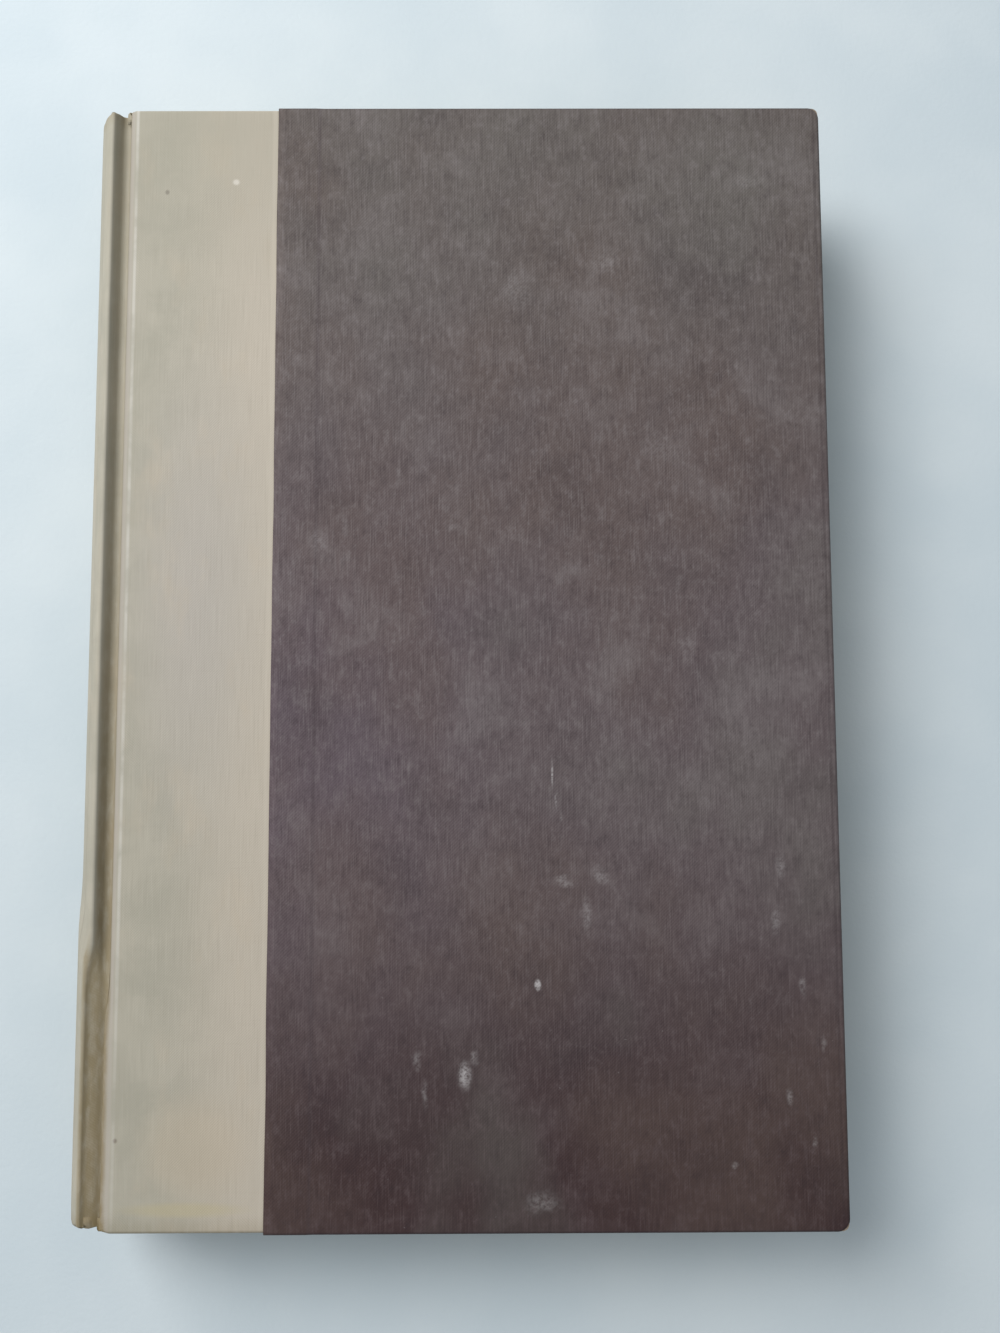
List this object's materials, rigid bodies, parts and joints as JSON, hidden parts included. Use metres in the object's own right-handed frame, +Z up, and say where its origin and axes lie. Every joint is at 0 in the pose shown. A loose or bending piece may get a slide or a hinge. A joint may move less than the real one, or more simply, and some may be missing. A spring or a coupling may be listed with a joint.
{
  "type": "hardback book",
  "caption": "Closed hardback book in quarter cloth: tan cloth spine, brown cloth sidings, rounded spine with joint grooves, and two covers that open.",
  "frame": {"origin": "centre of the book's box, at the height of the back cover's outer face", "axes": "+X from the spine to the fore edge, +Y from the tail to the head, +Z up through the closed book to the front cover"},
  "size_m": [0.142, 0.21, 0.025],
  "materials": {
    "pages": "matte book paper, trimmed edges lightly toned with age",
    "endpaper": "smooth matte endpaper",
    "lining": "open-weave cloth under paper, glued",
    "endband": "woven cotton bead",
    "card": "plain card",
    "board": "plain millboard",
    "tan_cloth": "smooth tan book cloth, soiled and rubbed along the joints",
    "brown_cloth": "dark purplish-brown book cloth, mottled and scuffed"
  },
  "bodies": {
    "block": {"text_block": "pages", "front_flyleaf": "endpaper", "back_flyleaf": "endpaper", "spine_lining": "lining", "headband": "endband", "tailband": "endband", "spine_inlay": "card", "spine_cloth": "tan_cloth"},
    "front_cover": {"front_board": "board", "front_cloth": "tan_cloth", "front_siding": "brown_cloth", "front_pastedown": "endpaper"},
    "back_cover": {"back_board": "board", "back_cloth": "tan_cloth", "back_siding": "brown_cloth", "back_pastedown": "endpaper"}
  },
  "joints": [
    {"name": "front_hinge", "type": "hinge", "parent": "block", "child": "front_cover", "pos_m": [-0.06575, 0, 0.0245], "axis": [0, -1, 0], "range_deg": [0, 180]},
    {"name": "back_hinge", "type": "hinge", "parent": "block", "child": "back_cover", "pos_m": [-0.06575, 0, 0.0005], "axis": [0, 1, 0], "range_deg": [0, 180]}
  ]
}
